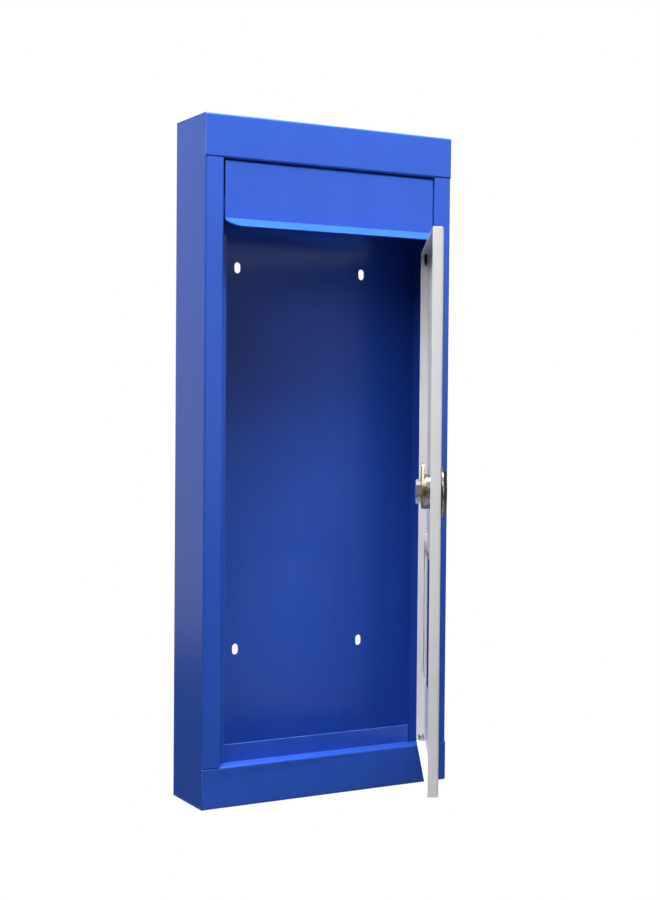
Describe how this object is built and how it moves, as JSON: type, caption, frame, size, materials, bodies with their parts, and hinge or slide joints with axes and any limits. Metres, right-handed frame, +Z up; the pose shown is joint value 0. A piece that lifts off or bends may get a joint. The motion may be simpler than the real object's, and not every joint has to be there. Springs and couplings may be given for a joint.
{
  "type": "wall-mounted book drop box",
  "caption": "Slim wall-mounted drop box: folded steel casing, lift-up posting flap, hinged door with clear window and cam lock.",
  "frame": {"origin": "centre of the flat back face, which lies on the wall", "axes": "+X to the right as seen from the front, +Y into the wall, +Z up"},
  "size_m": [0.2, 0.1924, 0.48],
  "materials": {
    "blue_paint": "gloss royal-blue powder coat with a fine orange peel",
    "white_paint": "satin white powder coat",
    "lock_chrome": "polished nickel-chrome plating",
    "zinc_steel": "bright zinc plating",
    "yellow_zinc": "dull yellowish plated steel",
    "dark_steel": "dark oiled steel",
    "clear_acrylic": "clear acrylic sheet",
    "nylon": "natural nylon"
  },
  "bodies": {
    "casing": {"back_panel": "blue_paint", "left_side": "blue_paint", "right_side": "blue_paint", "top_cap": "blue_paint", "bottom_tray": "blue_paint", "latch_strip": "blue_paint", "upper_hinge_lug": "blue_paint", "lower_pivot_washer": "nylon", "flap_rod": "dark_steel", "rod_retainers": "dark_steel", "flap_stop_left": "blue_paint", "flap_stop_right": "blue_paint"},
    "door": {"door_pan": "white_paint", "upper_pivot_pin": "dark_steel", "lower_pivot_rivet": "zinc_steel", "window_pane": "clear_acrylic", "pane_channel_left": "white_paint", "pane_channel_right": "white_paint", "lock_housing": "lock_chrome", "lock_ring_nut": "zinc_steel"},
    "lock": {"lock_plug": "lock_chrome", "lock_cam": "yellow_zinc", "cam_nut": "zinc_steel"},
    "flap": {"flap_panel": "blue_paint"}
  },
  "joints": [
    {"name": "door_hinge", "type": "hinge", "parent": "casing", "child": "door", "pos_m": [0.0808, -0.0465, 0], "axis": [0, 0, 1], "range_deg": [-60, 45]},
    {"name": "lock_turn", "type": "hinge", "parent": "door", "child": "lock", "pos_m": [0.00933, -0.17729, -0.015], "axis": [0.866, -0.5, 0], "range_deg": [0, 90]},
    {"name": "flap_hinge", "type": "hinge", "parent": "casing", "child": "flap", "pos_m": [0, -0.04594, 0.20644], "axis": [-1, 0, 0], "range_deg": [0, 80]}
  ]
}
